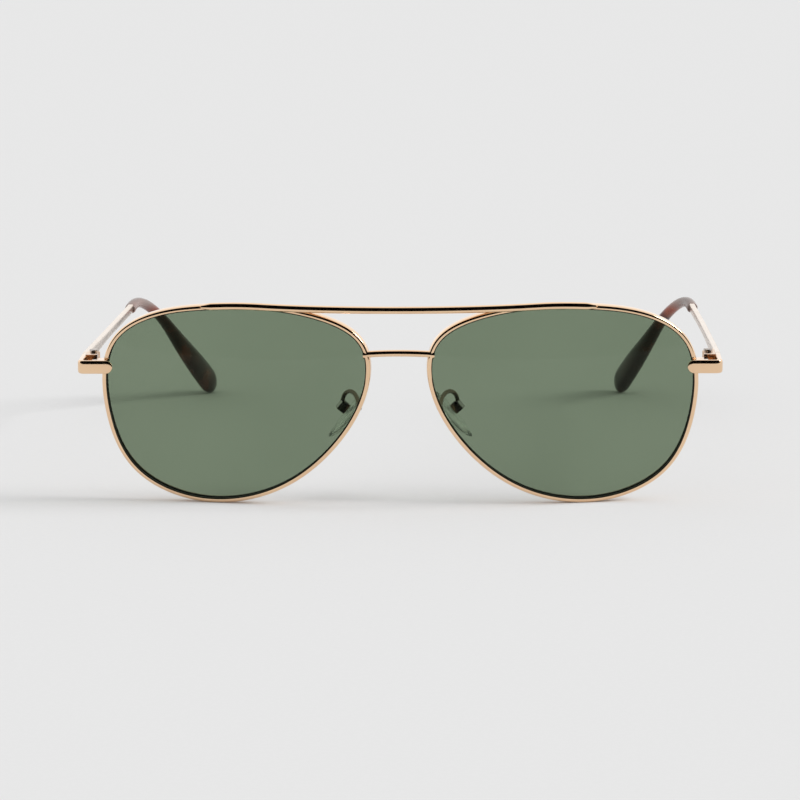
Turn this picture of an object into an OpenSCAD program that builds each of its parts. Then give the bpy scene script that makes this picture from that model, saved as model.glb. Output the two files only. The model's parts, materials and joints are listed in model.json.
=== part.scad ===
// Aviator sunglasses with a double bridge, standing open on a table.
// +X is the wearer's left, the lenses face -Y, +Z is up, and the rims and the temple tips stand on Z = 0.
// The +X half is modelled, and mirror_side() makes its twin.

/* [Lenses] */
// Nominal size of a lens, about its widest seen inside the rim
lens_w = 58; // [54:1:62]
// Radius of the lens front surface
lens_r = 88; // [80:1:120]
// Thickness of a lens
lens_t = 1.8; // [1.6:0.1:2.0]
// Distance from the middle of the nose to the middle of a lens
lens_x = 36.6; // [35.5:0.1:38]
// Turn of each lens about the vertical, outer edge to the rear
lens_wrap = 6; // [4:0.5:8]
// Lean of the front, top forward, when the glasses stand on a table
front_lean = 6; // [4:0.5:8]

/* [Rims] */
// Depth of the rim wire, front to back
rim_depth = 2.5; // [2.3:0.1:2.7]
// How far the rim wire stands outside the lens outline
rim_out = 0.7; // [0.65:0.05:0.9]
// How far the lips of the rim reach over the lens
rim_lip = 0.3; // [0.25:0.05:0.35]
// Gap in each rim at its closing blocks
rim_gap = 0.3; // [0.2:0.05:0.5]

/* [Bars] */
// Diameter of the brow bar wire
brow_d = 1.7; // [1.5:0.1:1.8]
// Diameter of the bridge wire
bridge_d = 1.5; // [1.3:0.1:1.7]

/* [Hinges] */
// Distance of each hinge axis from the middle
hinge_x = 68.6; // [68.4:0.1:68.8]
// Depth of each hinge axis behind the lens plane
hinge_y = 13.5; // [13.3:0.1:13.8]
// Outer radius of the hinge knuckles
knuckle_r = 1.3; // [1.2:0.05:1.3]
// Height of the whole hinge barrel
barrel_h = 3.9; // [3.6:0.1:4.2]
// Radius of the hinge screw's shank
screw_r = 0.6; // [0.5:0.05:0.65]
// Running clearance of the temple knuckle on the screw, on the radius
run_clear = 0.05; // [0.03:0.01:0.08]

/* [Temples] */
// Thickness of the temple bar
bar_t = 1.4; // [1.2:0.1:1.5]
// Height of the temple bar at its hinge
bar_h = 3.0; // [2.6:0.1:3.2]
// Height of the temple bar where it enters the tip
bar_end_h = 2.0; // [1.8:0.1:2.1]
// Thickness of the temple tip's sleeve
sleeve_t = 2.7; // [2.5:0.1:3.0]
// Height of the temple tip's sleeve
sleeve_h = 2.5; // [2.4:0.1:2.8]
// Widest thickness of the temple tip
tip_t = 3.7; // [3.4:0.1:4.0]
// Greatest height of the temple tip
tip_h = 6.4; // [6.0:0.1:6.6]

/* [Nose pads] */
// Length of a nose pad
pad_l = 13; // [12:0.5:14]
// Width of a nose pad
pad_w = 7; // [6.5:0.5:7.5]
// Thickness of a nose pad
pad_t = 2.2; // [2.0:0.1:2.4]
// Lean of the pads, tops together
pad_lean = 40; // [36:1:42]
// Flare of the pads, rear edges apart
pad_flare = 8; // [4:1:14]

/* [Hidden] */

gold = [0.86, 0.70, 0.55];
dark_metal = [0.35, 0.27, 0.22];
glass_green = [0.28, 0.36, 0.28, 0.75];
tortoise = [0.25, 0.12, 0.08];
silicone = [0.85, 0.88, 0.88, 0.6];

// Control points of the lens outline, outward and up from the middle of a 58 mm lens.
outline_points = [
    [29.8, -2.9], [30.2, 13.3], [19, 20.4], [7.2, 22.35], [-6.9, 22.95], [-19.35, 20.6],
    [-30.4, 14.7], [-28.9, 0.2], [-18.5, -13.4], [-6.1, -21], [9.3, -23], [24.5, -17.1]
];
outline_scale = lens_w / 58;
outline_steps = 96;
// Where the outline is cut for the closing blocks, counted in control points.
split_at = 11.676;

// ---------- curves ----------

function b0(t) = pow(1 - t, 3) / 6;
function b1(t) = (3 * t * t * t - 6 * t * t + 4) / 6;
function b2(t) = (-3 * t * t * t + 3 * t * t + 3 * t + 1) / 6;
function b3(t) = t * t * t / 6;
function blend4(a, b, c, d, t) = b0(t) * a + b1(t) * b + b2(t) * c + b3(t) * d;
function unit(v) = v / norm(v);
function mix(a, b, k) = a + (b - a) * k;
function smooth(k) = k * k * (3 - 2 * k);
function clamp01(k) = min(1, max(0, k));

// Point of a closed cubic B-spline, s counted in control points.
function closed_point(p, s) =
    let (n = len(p), i = floor(s), t = s - i)
    blend4(p[i % n], p[(i + 1) % n], p[(i + 2) % n], p[(i + 3) % n], t);

// Point of an open cubic B-spline that starts and ends on its first and last control points, k from 0 to 1.
function open_point(p, k) =
    let (
        n = len(p),
        q = concat([2 * p[0] - p[1]], p, [2 * p[n - 1] - p[n - 2]]),
        s = min(k, 0.999999) * (n - 1),
        i = floor(s)
    )
    blend4(q[i], q[i + 1], q[i + 2], q[i + 3], s - i);

function open_tangent(p, k) = unit(open_point(p, min(1, k + 0.001)) - open_point(p, max(0, k - 0.001)));

// ---------- lens outline ----------

function outline_point(s) = outline_scale * closed_point(outline_points, s);
function outline_normal(s) =
    let (d = unit(outline_point(s + 0.01) - outline_point(s + 12 - 0.01)))
    [d.y, -d.x];
function outline_at(s, out) = outline_point(s) + out * outline_normal(s);
function outline_ring(out) = [for (i = [0:outline_steps - 1]) outline_at(12 * i / outline_steps, out)];

// Depth of the lens front surface behind its middle.
function sag(u, v) = lens_r - sqrt(lens_r * lens_r - u * u - v * v);

// ---------- places ----------

// From a lens's own frame (outward, back, up) to the leaning front.
lens_back = -1.84;
function wrapped(p) = [
    lens_x + p.x * cos(lens_wrap) - p.y * sin(lens_wrap),
    lens_back + p.x * sin(lens_wrap) + p.y * cos(lens_wrap),
    p.z
];
function leaned(p) = [
    p.x,
    p.y * cos(front_lean) - p.z * sin(front_lean),
    p.y * sin(front_lean) + p.z * cos(front_lean)
];

// Section of the rim wire: outward from the lens outline, and back from the middle of the lens edge.
// Its front and rear fall away roundly to the outer side, and its inner side is grooved for the lens.
rim_front = 1.0;
rim_rear = rim_depth - rim_front;
groove_half = 0.5;
groove_out = 0.05;
crown = [
    [-rim_lip, 0.12], [-rim_lip + 0.1, 0.03], [rim_out - 0.75, 0], [rim_out - 0.54, 0.02],
    [rim_out - 0.34, 0.09], [rim_out - 0.16, 0.19], [rim_out - 0.05, 0.33], [rim_out, 0.55]
];
rim_section = concat(
    [[groove_out, groove_half], [-rim_lip, groove_half]],
    [for (c = crown) [c.x, rim_rear - c.y]],
    [for (i = [len(crown) - 1:-1:0]) [crown[i].x, crown[i].y - rim_front]],
    [[-rim_lip, -groove_half], [groove_out, -groove_half]]
);
// A point beside the lens edge at s, in the leaning front before it is lifted onto the table.
function by_rim(s, c) =
    let (o = outline_point(s), n = outline_normal(s), d = sag(o.x, o.y) + lens_t / 2)
    leaned(wrapped([o.x + c.x * n.x, d + c.y, o.y + c.x * n.y]));
function rim_ring(s) = [for (c = rim_section) by_rim(s, c)];
rim_stations = 90;
half_gap_s = 0.5 * rim_gap / 14.5;
rim_rings = [
    for (i = [0:rim_stations])
        rim_ring(mix(split_at + half_gap_s, split_at + 12 - half_gap_s, i / rim_stations))
];
rim_low = min([for (r = rim_rings, p = r) p.z]);
function lifted(p) = p - [0, 0, rim_low];

// ---------- temples ----------

// Control points of the tip's middle line, from the end of its sleeve over the bend and down to the table.
tip_points = [
    [68.8, 101, 27.7], [68.1, 105.5, 28.8], [65.8, 110, 27.8], [61.9, 115.5, 22.7],
    [58.8, 122, 15.7], [54.9, 130.5, 7.9], [51.5, 140, 0.5]
];
tip_rings_n = 26;
tip_sides = 20;

// Half thickness and half height of the tip at k along its middle line.
function tip_half_t(k) = mix(sleeve_t / 2, tip_t / 2, smooth(clamp01((k - 0.35) / 0.5)));
function tip_half_h(k) = mix(sleeve_h / 2, tip_h / 2, smooth(clamp01((k - 0.46) / 0.46)));
tip_round_from = 0.93;
function tip_round(k) = sqrt(max(0.0004, 1 - pow(clamp01((k - tip_round_from) / (1 - tip_round_from)), 2)));

// A ring across a line: its sides are level, and its height is square to the line.
function ring_frame(line, k) =
    let (t = open_tangent(line, k), s = unit(cross(t, [0, 0, 1])))
    [open_point(line, k), s, cross(s, t)];
function oval_ring(line, k, a, b, n) =
    let (f = ring_frame(line, k))
    [for (i = [0:n - 1]) f[0] + a * cos(360 * i / n) * f[1] + b * sin(360 * i / n) * f[2]];
function tip_k(i) =
    let (x = i / tip_rings_n)
    x < 0.6 ? x / 0.6 * tip_round_from
            : mix(tip_round_from, 1, sin(90 * (x - 0.6) / 0.4));
function tip_rings_on(line) = [
    for (i = [0:tip_rings_n])
        let (k = tip_k(i))
        oval_ring(line, k, tip_half_t(k) * tip_round(k), tip_half_h(k) * tip_round(k), tip_sides)
];
// The lower half of the middle line is settled until the tip just stands on the table.
tip_low = min([for (r = tip_rings_on(tip_points), p = r) p.z]);
tip_line = [
    for (i = [0:len(tip_points) - 1])
        tip_points[i] - [0, 0, tip_low * smooth(clamp01((i - 2) / 3))]
];
tip_rings = tip_rings_on(tip_line);
tip_rear = max([for (r = tip_rings, p = r) p.y]);

// Middle line of the metal bar: its own from the hinge, and the tip's where it is buried in the tip.
bar_start = [hinge_x + 2.2, hinge_y + 0.4, 30.65];
bar_free = [bar_start, [70.5, 40, 29.6], [70.0, 70, 28.5], [69.2, 92, 27.8]];
bar_line = concat(bar_free, [for (k = [0.02:0.05:0.5]) open_point(tip_line, k)]);
bar_rings_n = 44;
// Half thickness and half height of the bar at k along its line: tall at the hinge, slim inside the tip.
sleeve_k = len(bar_free) / (len(bar_line) - 1);
function bar_slims(k) = smooth(clamp01((k - sleeve_k) / 0.2));
function bar_half_t(k) = mix(bar_t / 2, 0.45, bar_slims(k));
function bar_half_h(k) =
    mix(mix(bar_h, bar_end_h, smooth(clamp01(k / 0.16))) / 2, 0.7, bar_slims(k));
bar_corner = 0.25;
function bar_ring(k) =
    let (f = ring_frame(bar_line, k), a = bar_half_t(k), b = bar_half_h(k), c = bar_corner)
    [
        for (q = [[a, b - c], [a - c, b], [c - a, b], [-a, b - c], [-a, c - b], [c - a, -b], [a - c, -b], [a, c - b]])
            f[0] + q.x * f[1] + q.y * f[2]
    ];

// ---------- front details ----------

// Middle line of the brow bar: a low arch over the nose that runs out along the tops of the rims.
brow_side = concat(
    [[0, -1.5, 44.25], [8, -1.5, 44.3], [16, -1.55, 44.45], [23, -1.65, 44.7]],
    [for (s = [3.1, 2.8, 2.5, 2.2, 1.95]) lifted(by_rim(s, [rim_out - 0.35, 0.25 - rim_front]))]
);
brow_line = concat(
    [for (i = [len(brow_side) - 1:-1:1]) [-brow_side[i].x, brow_side[i].y, brow_side[i].z]],
    brow_side
);
// The bar thins where it ends on the rim.
function brow_r(k) = brow_d / 2 * mix(0.5, 1, smooth(clamp01(min(k, 1 - k) / 0.05)));
// Middle line of the bridge, a low arch between the rims.
bridge_half = 7.8;
function bridge_point(k) =
    let (x = mix(-bridge_half, bridge_half, k), e = pow(x / bridge_half, 2))
    [x, -0.3 + 0.7 * e, 34.5 - 0.4 * e];
function wire_ring(c, t, r, n) =
    let (s = unit(cross(t, [0, 0, 1])), u = cross(s, t))
    [for (i = [0:n - 1]) c + r * cos(360 * i / n) * s + r * sin(360 * i / n) * u];

lug_z = 30.6;
lug_h = 3.0;
lug_in = 63.7;
lug_out = 71.5;
lug_front = 4.1;
plate_t = 0.9;
arm_t = 1.4;
arm_end = hinge_y + 0.3;
lug_corner = 1.5;
block_z = 2.8;
block_x = [65.55, 68.3];
block_y = [lug_front + plate_t, 8.3];
rim_screw_xy = [67.0, 6.9];
rim_screw_r = 0.5;

// The hinge barrel is three knuckles: front, temple, front.
knuckle_gap = 0.05;
knuckle_h = (barrel_h - 2 * knuckle_gap) / 3;
barrel_z = lug_z - barrel_h / 2;
middle_z = barrel_z + knuckle_h + knuckle_gap;
leaf_front_y = 9.2;
leaf_x = bar_start.x - bar_t / 2;
head_r = 1.0;
head_h = 0.45;

// The pad's pivot: the middle of its box on the +X side.
pad_pivot = [12.6, 8.8, 20.85];
box_t = 1.6;
box_wall = 0.3;
box_w = 3.0;
box_h = 2.4;
slot_w = 1.4;
tab_w = 1.2;
pad_gap = 0.4;
pad_drop = 0.8;
pad_screw_r = 0.45;
// Middle line of the pad arm: off the rear of the rim, up and over, and down into the box.
arm_line = [
    [9.0, 1.6, 21.7], [9.1, 3.3, 23.2], [9.9, 5.2, 24.6], [11.3, 7.2, 24.9], [12.5, 8.5, 23.7], [12.8, 8.8, 22.3]
];
arm_wire_r = 0.5;

// The object's box is centred front to back on Y = 0: the domes of the lenses are its front.
front_most = leaned(wrapped([0, lens_r, 0])).y - lens_r;
centre_y = (front_most + tip_rear) / 2;

// ---------- shared modules ----------

module seat() {
    translate([0, -centre_y, 0]) children();
}

module mirror_side(side) {
    if (side > 0) children();
    else mirror([1, 0, 0]) children();
}

// A closed skin over rings of points, with flat ends.
module skin(rings) {
    n = len(rings[0]);
    m = len(rings);
    walls = [
        for (i = [0:m - 2], j = [0:n - 1])
            let (a = i * n + j, b = i * n + (j + 1) % n, c = a + n, d = b + n)
            each [[a, b, d], [a, d, c]]
    ];
    start = [for (j = [n - 1:-1:0]) j];
    end = [for (j = [0:n - 1]) (m - 1) * n + j];
    polyhedron([for (r = rings) each r], concat(walls, [start, end]));
}

module in_lens_frame() {
    translate([0, 0, -rim_low])
    rotate([front_lean, 0, 0])
    translate([lens_x, lens_back, 0])
    rotate([0, 0, lens_wrap])
    children();
}

// Part of the spherical lens shell inside an outline, between two depths behind the front surface.
module shell(out, front, back) {
    translate([0, lens_r, 0])
    intersection() {
        difference() {
            sphere(r = lens_r - front, $fn = 240);
            sphere(r = lens_r - back, $fn = 240);
        }
        translate([0, 10 - lens_r, 0])
        rotate([90, 0, 0])
        linear_extrude(14)
        polygon(outline_ring(out));
    }
}

module in_pad_frame() {
    translate(pad_pivot)
    rotate([0, 0, -pad_flare])
    rotate([0, -pad_lean, 0])
    children();
}

// ---------- front ----------

module rim(side) {
    color(gold) seat() mirror_side(side)
    skin([for (r = rim_rings) [for (p = r) lifted(p)]]);
}

// The lens has a tongue round its edge that sits in the rim's groove.
module lens(side) {
    tongue = 0.4;
    color(glass_green) seat() mirror_side(side) in_lens_frame()
    union() {
        shell(-rim_lip - 0.1, 0, lens_t);
        shell(-0.12, lens_t / 2 - tongue, lens_t / 2 + tongue);
    }
}

// Room for the lenses, cut from the bars where they are soldered along the rims.
module lens_room() {
    for (side = [1, -1])
        mirror_side(side) in_lens_frame()
        translate([0, 12, 0])
        rotate([90, 0, 0])
        linear_extrude(16)
        polygon(outline_ring(0.05));
}

module brow_bar() {
    steps = 48;
    color(gold) seat()
    difference() {
        skin([for (i = [0:steps]) wire_ring(open_point(brow_line, i / steps),
            open_tangent(brow_line, i / steps), brow_r(i / steps), 12)]);
        lens_room();
    }
}

module bridge() {
    steps = 12;
    color(gold) seat()
    difference() {
        skin([for (i = [0:steps]) wire_ring(bridge_point(i / steps),
            unit(bridge_point(i / steps + 0.01) - bridge_point(i / steps)), bridge_d / 2, 12)]);
        lens_room();
    }
}

// A plate across the front of the rim, round at its inner end, that turns a corner and runs back to the hinge.
module end_piece(side) {
    nose_r = lug_h / 2;
    color(gold) seat() mirror_side(side)
    translate([0, 0, lug_z - lug_h / 2])
    union() {
        translate([lug_in + nose_r, lug_front, nose_r])
        rotate([-90, 0, 0])
        cylinder(r = nose_r, h = plate_t, $fn = 64);
        translate([lug_in + nose_r, lug_front, 0])
        cube([lug_out - lug_corner - lug_in - nose_r, plate_t, lug_h]);
        translate([lug_out - arm_t, lug_front + lug_corner, 0])
        cube([arm_t, arm_end - lug_front - lug_corner, lug_h]);
        intersection() {
            translate([lug_out - lug_corner, lug_front + lug_corner, 0])
            cylinder(r = lug_corner, h = lug_h, $fn = 48);
            translate([lug_out - lug_corner, lug_front, 0])
            cube([lug_corner, lug_corner, lug_h]);
        }
        translate([lug_out - arm_t - 0.5, lug_front + plate_t - 0.1, 0])
        cube([0.7, 0.9, lug_h]);
    }
}

module closing_block(side, upper) {
    gap = upper ? 0 : 0.1;
    low = upper ? lug_z + rim_gap / 2 : lug_z - block_z / 2;
    color(gold) seat() mirror_side(side)
    difference() {
        translate([block_x[0], block_y[0] + gap, low])
        cube([block_x[1] - block_x[0], block_y[1] - block_y[0] - gap, block_z / 2 - rim_gap / 2]);
        translate([rim_screw_xy.x, rim_screw_xy.y, lug_z - block_z])
        cylinder(r = rim_screw_r, h = 2 * block_z, $fn = 32);
    }
}

module rim_screw(side) {
    head = 0.35;
    color(gold) seat() mirror_side(side)
    translate([rim_screw_xy.x, rim_screw_xy.y, lug_z - block_z / 2])
    difference() {
        union() {
            cylinder(r = rim_screw_r, h = block_z, $fn = 32);
            translate([0, 0, -head])
            cylinder(r = 0.8, h = head, $fn = 32);
        }
        translate([-1, -0.12, -head - 0.1])
        cube([2, 0.24, 0.25]);
    }
}

module hinge_front(side) {
    color(gold) seat() mirror_side(side)
    difference() {
        union() {
            translate([hinge_x, hinge_y, barrel_z])
            cylinder(r = knuckle_r, h = barrel_h, $fn = 48);
            translate([hinge_x - knuckle_r + 0.2, leaf_front_y, barrel_z])
            cube([lug_out - arm_t - hinge_x + knuckle_r - 0.2, hinge_y - leaf_front_y, barrel_h]);
        }
        translate([hinge_x, hinge_y, middle_z - knuckle_gap])
        cylinder(r = knuckle_r + 0.15, h = knuckle_h + 2 * knuckle_gap, $fn = 48);
        translate([hinge_x, hinge_y, barrel_z + knuckle_h])
        cylinder(r = screw_r + 0.02, h = barrel_h, $fn = 48);
        translate([hinge_x, hinge_y, barrel_z - 1])
        cylinder(r = screw_r, h = barrel_h, $fn = 48);
    }
}

module hinge_screw(side) {
    color(dark_metal) seat() mirror_side(side)
    translate([hinge_x, hinge_y, barrel_z])
    difference() {
        union() {
            cylinder(r = screw_r, h = barrel_h + 0.1, $fn = 48);
            translate([0, 0, barrel_h])
            cylinder(r = head_r, h = head_h, $fn = 48);
        }
        translate([-1.5, -0.14, barrel_h + head_h - 0.25])
        cube([3, 0.28, 0.5]);
    }
}

module pad_arm(side) {
    steps = 20;
    color(gold) seat() mirror_side(side)
    skin([for (i = [0:steps]) wire_ring(open_point(arm_line, i / steps),
        open_tangent(arm_line, i / steps), arm_wire_r, 8)]);
}

module pad_box(side) {
    color(dark_metal) seat() mirror_side(side) in_pad_frame()
    difference() {
        translate([-box_t / 2, -box_w / 2, -box_h / 2])
        cube([box_t + 0.1 + box_wall, box_w, box_h]);
        translate([-box_t, -slot_w / 2, -box_h])
        cube([1.5 * box_t + 0.1, slot_w, 2 * box_h]);
        rotate([90, 0, 0])
        cylinder(r = pad_screw_r, h = 2 * box_w, center = true, $fn = 32);
    }
}

module pad_screw(side) {
    color(dark_metal) seat() mirror_side(side) in_pad_frame()
    rotate([90, 0, 0])
    difference() {
        union() {
            cylinder(r = pad_screw_r, h = box_w, center = true, $fn = 32);
            translate([0, 0, -box_w / 2 - 0.3])
            cylinder(r = 0.75, h = 0.3, $fn = 32);
        }
        translate([-1, -0.1, -box_w / 2 - 0.5])
        cube([2, 0.2, 0.35]);
    }
}

// A soft drop-shaped pad with a tab that turns on its screw inside the box.
module nose_pad(side) {
    drop = [
        for (a = [0:12:348])
            [pad_l / 2 * cos(a), pad_w / 2 * sin(a) * (1 - 0.16 * cos(a))]
    ];
    dome_r = 15;
    back = -box_t / 2 - pad_gap;
    color(silicone) seat() mirror_side(side) in_pad_frame()
    difference() {
        union() {
            translate([back - pad_t, 0, -pad_drop])
            intersection() {
                rotate([0, 90, 0])
                linear_extrude(pad_t)
                polygon(drop);
                translate([dome_r, 0, 0])
                sphere(r = dome_r, $fn = 180);
            }
            translate([back - 0.3, -tab_w / 2, -0.8])
            cube([-back + 0.3, tab_w, 1.6]);
            rotate([90, 0, 0])
            cylinder(r = 0.8, h = tab_w, center = true, $fn = 32);
        }
        rotate([90, 0, 0])
        cylinder(r = pad_screw_r + run_clear, h = 2 * tab_w, center = true, $fn = 32);
    }
}

// ---------- temples ----------

module hinge_temple(side) {
    color(gold) seat() mirror_side(side)
    difference() {
        union() {
            translate([hinge_x, hinge_y, middle_z])
            cylinder(r = knuckle_r, h = knuckle_h, $fn = 48);
            translate([hinge_x + 0.2, hinge_y, middle_z])
            cube([leaf_x - hinge_x - 0.2, 3, knuckle_h]);
            translate([hinge_x + 0.2, hinge_y + 1.9, lug_z - 1.3])
            cube([leaf_x - hinge_x - 0.2, 5, 2.6]);
        }
        translate([hinge_x, hinge_y, barrel_z])
        cylinder(r = screw_r + run_clear, h = barrel_h, $fn = 48);
    }
}

module temple_bar(side) {
    color(gold) seat() mirror_side(side)
    skin([for (i = [0:bar_rings_n]) bar_ring(i / bar_rings_n)]);
}

// The tip is moulded round the slim end of the bar.
module temple_tip(side) {
    color(tortoise) seat() mirror_side(side)
    skin(tip_rings);
}

rim(1);  // rim_left
rim(-1);  // rim_right
lens(1);  // lens_left
lens(-1);  // lens_right
brow_bar();
bridge();
end_piece(1);  // end_piece_left
end_piece(-1);  // end_piece_right
closing_block(1, true);  // closing_block_upper_left
closing_block(-1, true);  // closing_block_upper_right
closing_block(1, false);  // closing_block_lower_left
closing_block(-1, false);  // closing_block_lower_right
rim_screw(1);  // rim_screw_left
rim_screw(-1);  // rim_screw_right
hinge_front(1);  // hinge_front_left
hinge_front(-1);  // hinge_front_right
hinge_screw(1);  // hinge_screw_left
hinge_screw(-1);  // hinge_screw_right
pad_arm(1);  // pad_arm_left
pad_arm(-1);  // pad_arm_right
pad_box(1);  // pad_box_left
pad_box(-1);  // pad_box_right
pad_screw(1);  // pad_screw_left
pad_screw(-1);  // pad_screw_right
nose_pad(1);  // nose_pad_left
nose_pad(-1);  // nose_pad_right
hinge_temple(1);  // hinge_temple_left
hinge_temple(-1);  // hinge_temple_right
temple_bar(1);  // temple_bar_left
temple_bar(-1);  // temple_bar_right
temple_tip(1);  // temple_tip_left
temple_tip(-1);  // temple_tip_right
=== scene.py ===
"""Looks for a pair of aviator sunglasses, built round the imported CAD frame.

Every smooth piece is made here in mesh code, in millimetres, with Y = 0 at the front, and is then put in
the row frame in metres. The hinge leaves, blocks, boxes and screws stay CAD nodes with softened edges.
"""

import json
import math

import bmesh
import bpy
import numpy as np
from mathutils import Matrix, Vector


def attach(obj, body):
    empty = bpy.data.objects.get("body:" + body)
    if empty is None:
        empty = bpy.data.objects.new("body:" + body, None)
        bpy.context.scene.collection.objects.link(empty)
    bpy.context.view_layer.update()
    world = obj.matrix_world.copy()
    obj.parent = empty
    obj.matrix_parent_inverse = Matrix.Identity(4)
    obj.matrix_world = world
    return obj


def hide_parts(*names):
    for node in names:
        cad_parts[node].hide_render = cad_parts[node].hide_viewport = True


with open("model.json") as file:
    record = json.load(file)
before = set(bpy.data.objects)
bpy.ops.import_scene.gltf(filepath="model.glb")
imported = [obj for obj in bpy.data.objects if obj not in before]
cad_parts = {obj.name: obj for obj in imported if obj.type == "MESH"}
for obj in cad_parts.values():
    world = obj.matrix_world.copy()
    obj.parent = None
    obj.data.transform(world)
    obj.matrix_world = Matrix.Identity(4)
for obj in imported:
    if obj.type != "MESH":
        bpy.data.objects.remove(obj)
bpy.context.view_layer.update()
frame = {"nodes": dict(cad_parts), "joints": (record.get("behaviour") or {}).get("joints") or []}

MM = 0.001
SIDES = {"left": 1, "right": -1}
joint_at = {j["name"]: j["pos_m"] for j in frame["joints"]}

# ---------- sizes, in millimetres ----------

HINGE_Y = 13.5
SEAT_Y = joint_at["temple_left_fold"][1] / MM - HINGE_Y

LENS_R, LENS_T = 88.0, 1.8
LENS_X, LENS_BACK = 36.6, -1.84
WRAP = math.radians(6)
LEAN = math.radians(6)
OUTLINE = np.array([
    [29.8, -2.9], [30.2, 13.3], [19, 20.4], [7.2, 22.35], [-6.9, 22.95], [-19.35, 20.6],
    [-30.4, 14.7], [-28.9, 0.2], [-18.5, -13.4], [-6.1, -21], [9.3, -23], [24.5, -17.1],
])
# Places along an outline are counted in its points, and so is the place where the rim is cut.
ONCE_ROUND = len(OUTLINE)
SPLIT_AT = 11.676
LENS_BEVEL = 0.40

RIM_FRONT, RIM_REAR = 1.0, 1.5
RIM_OUT, RIM_LIP, RIM_GAP = 0.7, 0.3, 0.3
GROOVE_HALF, GROOVE_OUT = 0.5, 0.05
# Distance between neighbouring outline points where the rim is cut.
POINT_SPACING = 14.5

# The brow bar is a touch thinner than in the CAD, so that its boxier section stays within the CAD's height.
BROW_R = 0.83
BRIDGE_R, BRIDGE_FLARE = 0.75, 0.28
BRIDGE_HALF, BRIDGE_END = 7.8, 7.75

LUG_Z, LUG_H = 30.6, 3.0
LUG_IN, LUG_OUT, LUG_FRONT = 63.7, 71.5, 4.1
PLATE_T, ARM_T, LUG_CORNER = 0.9, 1.4, 1.5

TIP_POINTS = np.array([
    [68.8, 101, 27.7], [68.1, 105.5, 28.8], [65.8, 110, 27.8], [61.9, 115.5, 22.7],
    [58.8, 122, 15.7], [54.9, 130.5, 7.9], [51.5, 140, 0.5],
])
SLEEVE_T, SLEEVE_H, TIP_T, TIP_H = 2.7, 2.5, 3.7, 6.4
TIP_ROUND_FROM, TIP_SLIM = 0.93, 0.98
BAR_FREE = [[70.8, 13.9, 30.65], [70.5, 40, 29.6], [70.0, 70, 28.5], [69.2, 92, 27.8]]
BAR_T, BAR_H, BAR_END_H = 1.4, 3.0, 2.0

PAD_PIVOT = np.array([12.6, 8.8, 20.85])
PAD_L, PAD_W, PAD_T = 13.0, 7.0, 2.2
PAD_LEAN, PAD_FLARE = math.radians(40), math.radians(8)
PAD_BACK, PAD_DROP, PAD_DOME = -1.2, 0.8, 15.0
ARM_LINE = [
    [9.0, 1.6, 21.7], [9.1, 3.3, 23.2], [9.9, 5.2, 24.6],
    [11.3, 7.2, 24.9], [12.5, 8.5, 23.7], [12.8, 8.8, 22.3],
]
ARM_R, ARM_FLARE = 0.5, 0.22

# ---------- curves ----------


def smooth(k):
    k = np.clip(k, 0, 1)
    return k * k * (3 - 2 * k)


def mix(a, b, k):
    return a + (b - a) * k


def unit(v):
    return v / np.linalg.norm(v, axis=-1, keepdims=True)


def spline(points, s):
    """A uniform cubic B-spline over points taken round and round, at s counted in points."""
    i = np.floor(s).astype(int)
    t = (s - i)[:, None]
    a, b, c, d = (points[(i + j) % len(points)] for j in range(4))
    near = (3 * t ** 3 - 6 * t * t + 4) * b
    far = (-3 * t ** 3 + 3 * t * t + 3 * t + 1) * c
    return ((1 - t) ** 3 * a + near + far + t ** 3 * d) / 6


def open_curve(points, k):
    """A cubic B-spline from the first point to the last, k from 0 to 1."""
    p = np.array(points, float)
    q = np.vstack([2 * p[0] - p[1], p, 2 * p[-1] - p[-2]])
    return spline(q, np.clip(k, 0, 0.999999) * (len(p) - 1))


def open_tangent(points, k):
    return unit(open_curve(points, k + 0.001) - open_curve(points, k - 0.001))


def superellipse(a, b, power, count):
    """A closed oval section with half sizes a and b; a power over 2 makes it boxier."""
    t = 2 * np.pi * np.arange(count) / count
    c, s = np.cos(t), np.sin(t)
    wide = a * np.sign(c) * np.abs(c) ** (2 / power)
    tall = b * np.sign(s) * np.abs(s) ** (2 / power)
    return np.stack([wide, tall], -1)


def across(points, tangents, sections):
    """Rings of section points square to a line, with level sides."""
    side = unit(np.cross(tangents, [0, 0, 1]))
    up = np.cross(side, tangents)
    return points[:, None] + sections[..., :1] * side[:, None] + sections[..., 1:] * up[:, None]


# ---------- meshes ----------


def skin(rings):
    """Corners and faces of a tube over rings of points, each ring closed, with a cap at both ends."""
    m, n = rings.shape[:2]
    faces = [
        (i * n + j, i * n + (j + 1) % n, (i + 1) * n + (j + 1) % n, (i + 1) * n + j)
        for i in range(m - 1) for j in range(n)
    ]
    faces += [tuple(range(n)), tuple((m - 1) * n + j for j in range(n))]
    return rings.reshape(-1, 3), faces


def piece(name, parts, side, body, stands_for, materials, sharp=35):
    """One object from closed skins, each with its material number, riding on a body for a CAD node."""
    bm = bmesh.new()
    for corners, faces, number in parts:
        x = corners * np.array([side, 1, 1]) + np.array([0, SEAT_Y, 0])
        verts = [bm.verts.new(c) for c in (x * MM).tolist()]
        for f, face in enumerate(faces):
            made = bm.faces.new([verts[i] for i in face])
            made.material_index = number[f] if isinstance(number, list) else number
            made.smooth = True
    bmesh.ops.recalc_face_normals(bm, faces=bm.faces)
    mesh = bpy.data.meshes.new(name)
    bm.to_mesh(mesh)
    bm.free()
    mesh.set_sharp_from_angle(angle=math.radians(sharp))
    for m in materials:
        mesh.materials.append(m)
    obj = bpy.data.objects.new(name, mesh)
    bpy.context.scene.collection.objects.link(obj)
    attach(obj, body)
    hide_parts(*stands_for)
    return obj


# ---------- materials ----------


def new_material(name):
    mat = bpy.data.materials.new(name)
    mat.use_nodes = True
    nodes = mat.node_tree.nodes
    return mat, nodes, mat.node_tree.links, nodes["Principled BSDF"]


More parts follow.
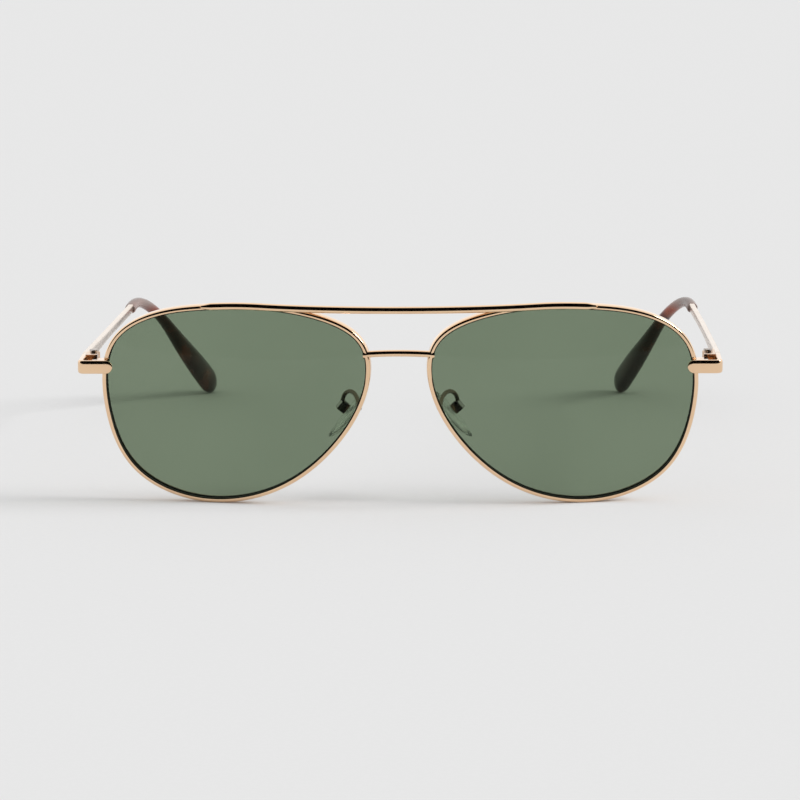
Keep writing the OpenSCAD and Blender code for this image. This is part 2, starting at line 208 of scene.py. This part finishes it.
def place(nodes):
    """Where a point is on the part, in metres."""
    return nodes.new("ShaderNodeTexCoord").outputs["Object"]


def noise(nodes, links, where, scale, detail=3.0, rough=0.5, stretch=None):
    if stretch:
        mapping = nodes.new("ShaderNodeMapping")
        mapping.inputs["Scale"].default_value = stretch
        links.new(where, mapping.inputs["Vector"])
        where = mapping.outputs["Vector"]
    node = nodes.new("ShaderNodeTexNoise")
    node.inputs["Scale"].default_value = scale
    node.inputs["Detail"].default_value = detail
    node.inputs["Roughness"].default_value = rough
    links.new(where, node.inputs["Vector"])
    return node.outputs["Fac"]


def ramp(nodes, links, value, stops):
    node = nodes.new("ShaderNodeValToRGB")
    bar = node.color_ramp
    while len(bar.elements) < len(stops):
        bar.elements.new(0.5)
    for element, (at, colour) in zip(bar.elements, stops):
        element.position = at
        shade = colour if isinstance(colour, tuple) else (colour, colour, colour)
        element.color = (*shade, 1)
    links.new(value, node.inputs["Fac"])
    return node.outputs["Color"]


def bump(nodes, links, height, strength, distance):
    node = nodes.new("ShaderNodeBump")
    node.inputs["Strength"].default_value = strength
    node.inputs["Distance"].default_value = distance
    links.new(height, node.inputs["Height"])
    return node.outputs["Normal"]


def plated_metal(name, light, deep, rough, grain, relief, lacquer=0.0):
    """Polished plate: a slow drift of tint, cloudy polish, fine orange-peel relief and lacquer over it."""
    mat, nodes, links, shader = new_material(name)
    where = place(nodes)
    tint = noise(nodes, links, where, 110.0, 2.0)
    links.new(ramp(nodes, links, tint, [(0.35, deep), (0.65, light)]), shader.inputs["Base Color"])
    polish = noise(nodes, links, where, 600.0, 5.0, 0.6)
    links.new(ramp(nodes, links, polish, [(0.3, rough[0]), (0.75, rough[1])]), shader.inputs["Roughness"])
    peel = noise(nodes, links, where, grain, 2.0)
    links.new(bump(nodes, links, peel, relief, 0.00002), shader.inputs["Normal"])
    shader.inputs["Metallic"].default_value = 1.0
    shader.inputs["Coat Weight"].default_value = lacquer
    shader.inputs["Coat Roughness"].default_value = 0.04
    return mat


rose_gold = plated_metal(
    "rose_gold_plate", (0.90, 0.635, 0.40), (0.86, 0.585, 0.365), (0.05, 0.10), 2500.0, 0.03, 0.7)
fitting_gold = plated_metal(
    "rose_gold_fitting", (0.80, 0.56, 0.37), (0.70, 0.47, 0.30), (0.10, 0.20), 1800.0, 0.07)
# Painted shade: the pad wires are gold like the frame, but their base colour is painted near-black to stand
# for the shade and dark reflection they show behind the lenses.
pad_wire_painted_shade = plated_metal(
    "gold_wire_painted_shade", (0.24, 0.18, 0.13), (0.15, 0.11, 0.08), (0.05, 0.10), 1800.0, 0.04, 1.0)
bar_gold = plated_metal(
    "pale_gold_bar", (0.86, 0.74, 0.63), (0.80, 0.68, 0.57), (0.14, 0.24), 1800.0, 0.06)
screw_steel = plated_metal(
    "screw_steel", (0.62, 0.55, 0.50), (0.42, 0.35, 0.31), (0.18, 0.34), 3000.0, 0.12)
# Painted shade: the pad boxes and pad screws get a near-black base colour to stand for how dark they sit in
# shade behind the lenses.
pad_box_painted_shade = plated_metal(
    "pad_box_metal_painted_shade", (0.17, 0.14, 0.12), (0.09, 0.075, 0.065), (0.10, 0.20), 3000.0, 0.10, 0.6)


def schlick(nodes, links, base):
    """How much a glass face mirrors: base when seen square on, rising to all of it at a grazing angle."""
    facing = nodes.new("ShaderNodeLayerWeight")
    facing.inputs["Blend"].default_value = 0.5
    fifth = nodes.new("ShaderNodeMath")
    fifth.operation = "POWER"
    fifth.inputs[1].default_value = 5.0
    links.new(facing.outputs["Facing"], fifth.inputs[0])
    rise = nodes.new("ShaderNodeMath")
    rise.operation = "MULTIPLY_ADD"
    rise.inputs[1].default_value = 1.0 - base
    rise.inputs[2].default_value = base
    links.new(fifth.outputs[0], rise.inputs[0])
    return rise.outputs[0]


def tinted_glass(name):
    """Grey-green sun glass, tinted at each face, with a little cloud in the tint and smear in the gloss."""
    mat, nodes, links, shader = new_material(name)
    nodes.remove(shader)
    where = place(nodes)
    through = nodes.new("ShaderNodeBsdfTransparent")
    cloud = noise(nodes, links, where, 25.0, 2.0)
    tint = ramp(nodes, links, cloud, [(0.3, (0.452, 0.510, 0.424)), (0.7, (0.470, 0.528, 0.441))])
    links.new(tint, through.inputs["Color"])
    gloss = nodes.new("ShaderNodeBsdfGlossy")
    gloss.inputs["Color"].default_value = (1, 1, 1, 1)
    smear = noise(nodes, links, where, 180.0, 4.0, 0.6)
    links.new(ramp(nodes, links, smear, [(0.35, 0.0), (0.8, 0.05)]), gloss.inputs["Roughness"])
    both = nodes.new("ShaderNodeMixShader")
    links.new(schlick(nodes, links, 0.005), both.inputs[0])
    links.new(through.outputs[0], both.inputs[1])
    links.new(gloss.outputs[0], both.inputs[2])
    links.new(both.outputs[0], nodes["Material Output"].inputs["Surface"])
    return mat


def ground_edge(name):
    """The finely ground edge of a lens."""
    mat, nodes, links, shader = new_material(name)
    where = place(nodes)
    grit = noise(nodes, links, where, 4000.0, 2.0)
    links.new(ramp(nodes, links, grit, [(0.3, (0.004, 0.004, 0.003)), (0.7, (0.012, 0.012, 0.009))]),
              shader.inputs["Base Color"])
    links.new(ramp(nodes, links, grit, [(0.3, 0.35), (0.7, 0.55)]), shader.inputs["Roughness"])
    links.new(bump(nodes, links, grit, 0.3, 0.00002), shader.inputs["Normal"])
    shader.inputs["Specular IOR Level"].default_value = 0.2
    return mat


def tortoiseshell(name):
    """Dark tortoiseshell acetate: red-brown flecks in near-black brown, with a painted sheen that lightens
    the tip with height over the bend, red-brown and then greyish at the top.
    """
    mat, nodes, links, shader = new_material(name)
    where = place(nodes)
    fleck = noise(nodes, links, where, 150.0, 3.0, 0.55, (1.0, 0.6, 1.0))
    flecks = ramp(nodes, links, fleck, [
        (0.40, (0.016, 0.006, 0.0045)), (0.52, (0.032, 0.010, 0.0065)),
        (0.62, (0.080, 0.021, 0.012)), (0.76, (0.20, 0.06, 0.025)),
    ])
    # Painted sheen: the colour is lifted with height over the bend, red-brown and then greyish along the top,
    # as if light fell on it there.
    height = nodes.new("ShaderNodeSeparateXYZ")
    links.new(where, height.inputs[0])
    sleeve = nodes.new("ShaderNodeMapRange")
    sleeve.interpolation_type = "SMOOTHSTEP"
    sleeve.inputs["From Min"].default_value = 0.0215
    sleeve.inputs["From Max"].default_value = 0.0300
    links.new(height.outputs["Z"], sleeve.inputs["Value"])
    painted_top_sheen = ramp(nodes, links, sleeve.outputs["Result"], [
        (0.15, (0.0, 0.0, 0.0)), (0.5, (0.17, 0.035, 0.02)), (0.85, (0.22, 0.18, 0.165)),
    ])
    colour = nodes.new("ShaderNodeMix")
    colour.data_type = "RGBA"
    colour.blend_type = "ADD"
    colour.inputs["Factor"].default_value = 1.0
    links.new(flecks, colour.inputs["A"])
    links.new(painted_top_sheen, colour.inputs["B"])
    links.new(colour.outputs["Result"], shader.inputs["Base Color"])
    haze = noise(nodes, links, where, 900.0, 4.0, 0.6)
    links.new(ramp(nodes, links, haze, [(0.3, 0.14), (0.7, 0.26)]), shader.inputs["Roughness"])
    links.new(bump(nodes, links, haze, 0.05, 0.00003), shader.inputs["Normal"])
    shader.inputs["IOR"].default_value = 1.49
    shader.inputs["Specular IOR Level"].default_value = 0.35
    shader.inputs["Coat Weight"].default_value = 0.2
    shader.inputs["Coat Roughness"].default_value = 0.06
    return mat


def clear_silicone(name):
    """Clear soft silicone, a little milky, with a moulded skin."""
    mat, nodes, links, shader = new_material(name)
    where = place(nodes)
    milk = noise(nodes, links, where, 350.0, 3.0)
    links.new(ramp(nodes, links, milk, [(0.3, (0.80, 0.83, 0.80)), (0.7, (0.90, 0.92, 0.90))]),
              shader.inputs["Base Color"])
    links.new(ramp(nodes, links, milk, [(0.3, 0.10), (0.7, 0.22)]), shader.inputs["Roughness"])
    skin_relief = noise(nodes, links, where, 2200.0, 3.0)
    links.new(bump(nodes, links, skin_relief, 0.12, 0.00003), shader.inputs["Normal"])
    shader.inputs["IOR"].default_value = 1.41
    shader.inputs["Transmission Weight"].default_value = 0.92
    return mat


lens_glass = tinted_glass("sun_glass")
lens_edge = ground_edge("lens_ground_edge")
tip_acetate = tortoiseshell("tortoiseshell_acetate")
pad_silicone = clear_silicone("clear_silicone")

# ---------- front ----------


def outline(s):
    """Points of a lens outline and the directions straight out of it."""
    p = spline(OUTLINE, s)
    d = unit(spline(OUTLINE, s + 0.01) - spline(OUTLINE, s + ONCE_ROUND - 0.01))
    return p, np.stack([d[:, 1], -d[:, 0]], -1)


def sag(flat, radius=LENS_R):
    """Depth of a lens surface behind the front one's middle."""
    return LENS_R - np.sqrt(radius * radius - flat[..., 0] ** 2 - flat[..., 1] ** 2)


def on_front(flat, depth):
    """From a lens's own frame (outward, up, and depth behind it) to the leaning front."""
    x = LENS_X + flat[..., 0] * math.cos(WRAP) - depth * math.sin(WRAP)
    y = LENS_BACK + flat[..., 0] * math.sin(WRAP) + depth * math.cos(WRAP)
    z = flat[..., 1]
    return np.stack([
        x, y * math.cos(LEAN) - z * math.sin(LEAN), y * math.sin(LEAN) + z * math.cos(LEAN)
    ], -1)


# How far the rim's face falls away, from its inner lip over the crown to its outer side.
crown = open_curve([
    [-RIM_LIP, 0.16], [-RIM_LIP + 0.02, 0.07], [-RIM_LIP + 0.11, 0.01],
    [RIM_OUT - 0.75, 0.0], [RIM_OUT - 0.54, 0.02], [RIM_OUT - 0.34, 0.08],
    [RIM_OUT - 0.15, 0.20], [RIM_OUT - 0.03, 0.40], [RIM_OUT, 0.60],
], np.linspace(0, 1, 24))
rim_section = np.vstack([
    [[GROOVE_OUT, GROOVE_HALF], [-RIM_LIP + 0.03, GROOVE_HALF], [-RIM_LIP, GROOVE_HALF + 0.03]],
    crown * np.array([1, -1]) + np.array([0, RIM_REAR]),
    crown[::-1] - np.array([0, RIM_FRONT]),
    [[-RIM_LIP, -GROOVE_HALF - 0.03], [-RIM_LIP + 0.03, -GROOVE_HALF], [GROOVE_OUT, -GROOVE_HALF]],
])
half_gap = 0.5 * RIM_GAP / POINT_SPACING
rim_s = np.linspace(SPLIT_AT + half_gap, SPLIT_AT + ONCE_ROUND - half_gap, 361)
at, out = outline(rim_s)
rim_flat = at[:, None] + rim_section[:, 0][None, :, None] * out[:, None]
rim_rings = on_front(rim_flat, (sag(at) + LENS_T / 2)[:, None] + rim_section[:, 1])
LIFT = np.array([0, 0, -rim_rings[..., 2].min()])
rim_rings = rim_rings + LIFT


def by_rim(s, reach, depth):
    """Points beside the lens edge, reach outward from it and depth behind its middle."""
    p, away = outline(np.array(s))
    return on_front(p + reach * away, sag(p) + LENS_T / 2 + depth) + LIFT


def lens_skin():
    """A lens: front and rear surfaces over a fan of rings, and an edge with a tongue for the groove."""
    around = ONCE_ROUND * np.arange(240) / 240
    edge, away = outline(around)
    rings = []
    kinds = []
    for share in np.linspace(0.02, 1, 26):
        flat = (edge - LENS_BEVEL * away) * math.sin(share * math.pi / 2)
        rings.append(on_front(flat, sag(flat)))
        kinds.append(0)
    middle = sag(edge) + LENS_T / 2
    corner = LENS_T / 2 - 0.04
    tongue = [(-0.37, -corner), (-0.37, -0.42), (-0.12, -0.36), (-0.12, 0.36), (-0.37, 0.42), (-0.37, corner)]
    for reach, depth in tongue:
        flat = edge + reach * away
        rings.append(on_front(flat, middle + depth))
        kinds.append(1)
    for share in np.linspace(1, 0.02, 26):
        flat = (edge - LENS_BEVEL * away) * math.sin(share * math.pi / 2)
        rings.append(on_front(flat, sag(flat, LENS_R - LENS_T)))
        kinds.append(1 if share == 1 else 0)
    corners, faces = skin(np.array(rings) + LIFT)
    numbers = [kinds[i + 1] for i in range(len(rings) - 1) for _ in around] + [0, 0]
    return corners, faces, numbers


def wire_part(points, k, radii, sides=24, power=2.0, roll=0.0):
    """A wire along a spline, with its own radius at each k; its face can be flattened and rolled upward."""
    c, s = math.cos(roll), math.sin(roll)
    sections = radii[:, None, None] * (superellipse(1, 1, power, sides) @ np.array([[c, s], [-s, c]]))
    corners, faces = skin(across(open_curve(points, k), open_tangent(points, k), sections))
    return corners, faces, 0


def bridge_line(x):
    e = (x / BRIDGE_HALF) ** 2
    return np.stack([x, -0.3 + 0.7 * e, 34.5 - 0.4 * e], -1)


# A low arch over the nose that runs out along the tops of the rims and thins to its ends.
brow_side = np.vstack([
    [[0, -1.5, 44.25], [8, -1.5, 44.3], [16, -1.55, 44.45], [23, -1.65, 44.7]],
    by_rim([3.1, 2.8, 2.5, 2.2, 1.95], RIM_OUT - 0.35, 0.25 - RIM_FRONT),
])
brow_line = np.vstack([brow_side[:0:-1] * np.array([-1, 1, 1]), brow_side])
brow_k = np.linspace(0, 1, 161)
from_end = np.minimum(brow_k, 1 - brow_k)
brow_radii = BROW_R * mix(0.5, 1, smooth(from_end / 0.05))
brow_radii *= np.sqrt(np.maximum(0.0025, 1 - np.clip(1 - from_end / 0.006, 0, 1) ** 2))
brow_part = wire_part(brow_line, brow_k, brow_radii, 40, 2.5, math.radians(10))
piece("brow_bar_wire", [brow_part], 1, "front", ["brow_bar"], [rose_gold])

bridge_k = np.linspace(0, 1, 61)
from_foot = np.minimum(bridge_k, 1 - bridge_k) * 2 * BRIDGE_HALF
bridge_radii = BRIDGE_R + BRIDGE_FLARE * smooth(1 - from_foot / 1.3)
bridge_points = bridge_line(np.linspace(-BRIDGE_END, BRIDGE_END, 9))
bridge_part = wire_part(bridge_points, bridge_k, bridge_radii, 40, 2.3, math.radians(15))
piece("bridge_wire", [bridge_part], 1, "front", ["bridge"], [rose_gold])


def end_piece_part():
    """A strip across the front of the rim, round at its inner end, that turns and runs to the hinge."""
    nose = LUG_H / 2
    flat_end = LUG_OUT - LUG_CORNER
    nose_a = np.linspace(4, 90, 16) * math.pi / 180
    turn_a = np.linspace(0, 90, 15)[1:] * math.pi / 180
    # Each step of the path: x, y, turn, share of the full height, thickness.
    path = [(LUG_IN + nose - nose * math.cos(a), LUG_FRONT, 0.0, math.sin(a), PLATE_T) for a in nose_a]
    across_x = mix(LUG_IN + nose, flat_end, np.linspace(0.1, 1, 8))
    path += [(x, LUG_FRONT, 0.0, 1.0, PLATE_T) for x in across_x]
    path += [(flat_end + LUG_CORNER * math.sin(a), LUG_FRONT + LUG_CORNER * (1 - math.cos(a)), a, 1.0,
              mix(PLATE_T, ARM_T, a / (math.pi / 2))) for a in turn_a]
    end = HINGE_Y + 0.3
    back_y = mix(LUG_FRONT + LUG_CORNER, end, np.linspace(0.12, 0.97, 9))
    path += [(LUG_OUT, y, math.pi / 2, 1.0, ARM_T) for y in back_y]
    path += [(LUG_OUT, end, math.pi / 2, 0.9, ARM_T)]
    section = superellipse(1, 1, 4.2, 40)
    rings = []
    for i, (x, y, turn, tall, thick) in enumerate(path):
        depth = np.array([-math.sin(turn), math.cos(turn), 0])
        slim = 0.86 if i == len(path) - 1 else 1.0
        centre = np.array([x, y, LUG_Z]) + depth * thick / 2
        rings.append(centre + section[:, :1] * slim * thick / 2 * depth
                     + section[:, 1:] * LUG_H / 2 * tall * np.array([0, 0, 1]))
    corners, faces = skin(np.array(rings))
    return corners, faces, 0


# ---------- temples ----------


def tip_rings(line):
    """Rings of the plastic tip: a slim sleeve that swells into a flat paddle with a round end."""
    end_k = mix(TIP_ROUND_FROM, 1, np.sin(np.linspace(0.04, 1, 24) * math.pi / 2))
    k = np.concatenate([np.linspace(0, TIP_ROUND_FROM, 70), end_k])
    half_t = mix(SLEEVE_T, TIP_T, smooth((k - 0.35) / 0.5)) / 2
    half_h = mix(SLEEVE_H, TIP_H, smooth((k - 0.46) / 0.46)) / 2
    over = np.clip((k - TIP_ROUND_FROM) / (1 - TIP_ROUND_FROM), 0, 1)
    closing = np.sqrt(np.maximum(0.0004, 1 - over ** 2))
    ring = superellipse(1, 1, 2.1, 48) * TIP_SLIM
    sections = ring * np.stack([half_t * closing, half_h * closing], -1)[:, None]
    rings = across(open_curve(line, k), open_tangent(line, k), sections)
    mouth = np.array([rings[0], rings[0]])
    centre = open_curve(line, np.array([0.0]))[0]
    ahead = open_tangent(line, np.array([0.0]))[0]
    mouth[0] = centre + (rings[0] - centre) * 0.72 + 0.28 * ahead
    mouth[1] = centre + (rings[0] - centre) * 0.80 - 0.02 * ahead
    lip = centre + (rings[0] - centre) * 0.93 - 0.02 * ahead
    start = rings[0] + 0.16 * ahead
    return np.concatenate([mouth, lip[None], start[None], rings[2:]])


low = tip_rings(TIP_POINTS)[..., 2].min()
tip_line = TIP_POINTS.copy()
tip_line[:, 2] -= low * smooth((np.arange(7) - 2) / 3)


def bar_part():
    """The flat metal bar, tall at the hinge and slim inside the tip."""
    inside = open_curve(tip_line, np.arange(0.02, 0.42, 0.05))
    line = np.vstack([BAR_FREE, inside])
    k = np.concatenate([[0, 0.001, 0.003], np.linspace(0.006, 1, 150)])
    entry = len(BAR_FREE) / (len(line) - 1)
    slims = smooth((k - entry) / 0.2)
    half_t = mix(BAR_T / 2, 0.45, slims)
    half_h = mix(mix(BAR_H, BAR_END_H, smooth(k / 0.16)) / 2, 0.7, slims)
    shrink = np.ones(len(k))
    shrink[:3] = [0.80, 0.92, 0.98]
    sections = superellipse(1, 1, 4.5, 40) * (np.stack([half_t, half_h], -1) * shrink[:, None])[:, None]
    corners, faces = skin(across(open_curve(line, k), open_tangent(line, k), sections))
    return corners, faces, 0


# ---------- nose pads ----------


def in_pad_frame(p):
    """From a pad's own frame (thickness, width, length) to the front."""
    c, s = math.cos(-PAD_LEAN), math.sin(-PAD_LEAN)
    x, y, z = c * p[..., 0] + s * p[..., 2], p[..., 1], -s * p[..., 0] + c * p[..., 2]
    c, s = math.cos(-PAD_FLARE), math.sin(-PAD_FLARE)
    return PAD_PIVOT + np.stack([c * x - s * y, s * x + c * y, z], -1)


def pad_part():
    """A drop-shaped cushion, domed on the nose's side and softly rounded all round."""
    t = 2 * np.pi * np.arange(72) / 72
    drop = np.stack([PAD_W / 2 * np.sin(t) * (1 - 0.16 * np.cos(t)), -PAD_L / 2 * np.cos(t)], -1)
    rolled = 1 - 0.3 * np.cos(np.linspace(0.05, 1, 14) * math.pi / 2)
    share = np.concatenate([np.linspace(0.04, 0.7, 12), rolled])
    rings = []
    for sign in (-1, 1):
        row = share if sign < 0 else share[-2::-1]
        for r in row:
            flat = drop * r
            dome = PAD_DOME - np.sqrt(PAD_DOME ** 2 - (flat ** 2).sum(1))
            thick = PAD_T - 0.35 * dome
            full = (1 - r ** 5) ** 0.5
            mid = PAD_BACK - PAD_T / 2 + 0.42 * dome
            x = mid + sign * full * (thick / 2 - 0.04 - 0.16 * dome)
            rings.append(np.stack([x, flat[:, 0], flat[:, 1] - PAD_DROP], -1))
    corners, faces = skin(in_pad_frame(np.array(rings)))
    return corners, faces, 0


def pad_tab_parts():
    """The moulded tab behind a pad, with its round eye for the screw."""
    tab = superellipse(0.58, 0.78, 4, 28)
    rings = []
    for k in np.linspace(0, 1, 9):
        flare = 1.18 if k == 0 else 1
        rings.append(np.stack([np.full(28, mix(PAD_BACK - 0.35, 0.0, k)), tab[:, 0], tab[:, 1] * flare], -1))
    eye = superellipse(0.8, 0.8, 2, 40)
    barrel = np.array([
        np.stack([eye[:, 0] * r, np.full(40, y), eye[:, 1] * r], -1)
        for y, r in ((-0.58, 0.9), (-0.52, 0.99), (0.52, 0.99), (0.58, 0.9))
    ])
    return [(*skin(in_pad_frame(np.array(rings))), 0), (*skin(in_pad_frame(barrel)), 0)]


arm_k = np.linspace(0, 1, 73)
arm_radii = ARM_R + ARM_FLARE * smooth(1 - arm_k / 0.1)

for name, side in SIDES.items():
    rim_part = (*skin(rim_rings), 0)
    piece(f"rim_wire_{name}", [rim_part], side, "front", [f"rim_{name}"], [rose_gold])
    sun_lens = piece(
        f"sun_lens_{name}", [lens_skin()], side, "front", [f"lens_{name}"],
        [lens_glass, lens_edge])
    # The sky light that reaches the floor through a lens isn't dimmed.
    sun_lens.visible_diffuse = False
    piece(
        f"end_plate_{name}", [end_piece_part()], side, "front", [f"end_piece_{name}"],
        [rose_gold], 60)
    arm_part = wire_part(ARM_LINE, arm_k, arm_radii, 20)
    piece(f"pad_wire_{name}", [arm_part], side, "front", [f"pad_arm_{name}"], [pad_wire_painted_shade])
    piece(
        f"temple_wire_{name}", [bar_part()], side, f"temple_{name}", [f"temple_bar_{name}"],
        [bar_gold], 60)
    tip_part = (*skin(tip_rings(tip_line)), 0)
    piece(
        f"tip_{name}", [tip_part], side, f"temple_{name}", [f"temple_tip_{name}"],
        [tip_acetate], 50)
    piece(
        f"pad_cushion_{name}", [pad_part(), *pad_tab_parts()], side, f"nose_pad_{name}", [f"nose_pad_{name}"],
        [pad_silicone], 50)

# ---------- CAD nodes that stay ----------

kept = {
    "closing_block_upper": rose_gold, "closing_block_lower": rose_gold, "rim_screw": fitting_gold,
    "hinge_front": fitting_gold, "hinge_screw": screw_steel, "pad_box": pad_box_painted_shade, "pad_screw": pad_box_painted_shade,
    "hinge_temple": fitting_gold,
}
for base, mat in kept.items():
    for name in SIDES:
        obj = frame["nodes"][f"{base}_{name}"]
        obj.data.materials.clear()
        obj.data.materials.append(mat)
        soften = obj.modifiers.new("soft_edges", "BEVEL")
        soften.width = 0.00009
        soften.segments = 3
        soften.limit_method = "ANGLE"
        soften.angle_limit = math.radians(40)
        soften.harden_normals = True

# ---------- studio ----------

# The floor stops a little ahead of the object, so that mirrors see the dark gap past its edge.
front_y = SEAT_Y * MM - 0.27
rear_y = SEAT_Y * MM + 5
floor_mesh = bpy.data.meshes.new("floor")
floor_corners = [(-5, front_y, 0), (5, front_y, 0), (5, rear_y, 0), (-5, rear_y, 0)]
floor_mesh.from_pydata(floor_corners, [], [(0, 1, 2, 3)])
floor = bpy.data.objects.new("floor", floor_mesh)
bpy.context.scene.collection.objects.link(floor)
paper, paper_nodes, paper_links, paper_shader = new_material("pale_paper")
tooth = noise(paper_nodes, paper_links, place(paper_nodes), 900.0, 4.0)
paper_tone = ramp(paper_nodes, paper_links, tooth, [(0.3, 0.795), (0.7, 0.805)])
paper_links.new(paper_tone, paper_shader.inputs["Base Color"])
paper_shader.inputs["Roughness"].default_value = 1.0
paper_shader.inputs["Specular IOR Level"].default_value = 0.0
floor_mesh.materials.append(paper)


def studio_world():
    """A white studio with a dark gap ahead, which only mirrors see; the camera sees the floor's tone."""
    world = bpy.data.worlds.new("studio")
    bpy.context.scene.world = world
    world.use_nodes = True
    nodes, links = world.node_tree.nodes, world.node_tree.links
    shader = nodes["Background"]
    towards = nodes.new("ShaderNodeSeparateXYZ")
    links.new(nodes.new("ShaderNodeTexCoord").outputs["Generated"], towards.inputs[0])

    def step(value, low, high):
        node = nodes.new("ShaderNodeMapRange")
        node.interpolation_type = "SMOOTHSTEP"
        node.inputs["From Min"].default_value = low
        node.inputs["From Max"].default_value = high
        links.new(value, node.inputs["Value"])
        return node.outputs["Result"]

    def times(a, b):
        node = nodes.new("ShaderNodeMath")
        node.operation = "MULTIPLY"
        links.new(a, node.inputs[0])
        links.new(b, node.inputs[1])
        return node.outputs[0]

    below_top = step(towards.outputs["Z"], 0.97, 0.90)
    in_front = step(towards.outputs["Y"], -0.10, -0.28)
    dark = times(below_top, in_front)
    seen = nodes.new("ShaderNodeMix")
    seen.data_type = "RGBA"
    seen.inputs["A"].default_value = (1.05, 1.05, 1.05, 1)
    seen.inputs["B"].default_value = (0.0, 0.0, 0.0, 1)
    links.new(dark, seen.inputs["Factor"])
    ray = nodes.new("ShaderNodeLightPath")
    plain = nodes.new("ShaderNodeMix")
    plain.data_type = "RGBA"
    plain.inputs["A"].default_value = (0.745, 0.745, 0.745, 1)
    plain.inputs["B"].default_value = (0.794, 0.794, 0.794, 1)
    links.new(ray.outputs["Is Camera Ray"], plain.inputs["Factor"])
    final = nodes.new("ShaderNodeMix")
    final.data_type = "RGBA"
    links.new(ray.outputs["Is Glossy Ray"], final.inputs["Factor"])
    links.new(plain.outputs["Result"], final.inputs["A"])
    links.new(seen.outputs["Result"], final.inputs["B"])
    links.new(final.outputs["Result"], shader.inputs["Color"])


studio_world()

key = bpy.data.lights.new("key", "SUN")
key.energy = 1.55
key.angle = math.radians(24)
key_light = bpy.data.objects.new("key", key)
bpy.context.scene.collection.objects.link(key_light)
key_light.rotation_euler = Vector((-1.0, 0.10, -0.62)).to_track_quat("-Z", "Y").to_euler()

# ---------- camera ----------

DISTANCE, ELEVATION, AZIMUTH, ROLL = 0.9, math.radians(10.65), math.radians(1.7), math.radians(-0.355)
target = Vector((0.000223, SEAT_Y * MM, 0.023966))
back = Vector((
    math.sin(AZIMUTH) * math.cos(ELEVATION), -math.cos(AZIMUTH) * math.cos(ELEVATION), math.sin(ELEVATION)
))
right = (-back).cross(Vector((0, 0, 1))).normalized()
up = right.cross(-back)
right, up = right * math.cos(ROLL) + up * math.sin(ROLL), up * math.cos(ROLL) - right * math.sin(ROLL)
lens_data = bpy.data.cameras.new("camera")
lens_data.lens = 183.63
lens_data.sensor_width = 36
lens_data.clip_end = 20
camera = bpy.data.objects.new("camera", lens_data)
bpy.context.scene.collection.objects.link(camera)
turn = Matrix((right, up, back)).transposed().to_4x4()
camera.matrix_world = Matrix.Translation(target + back * DISTANCE) @ turn
bpy.context.scene.camera = camera
bpy.context.scene.view_settings.view_transform = "Standard"
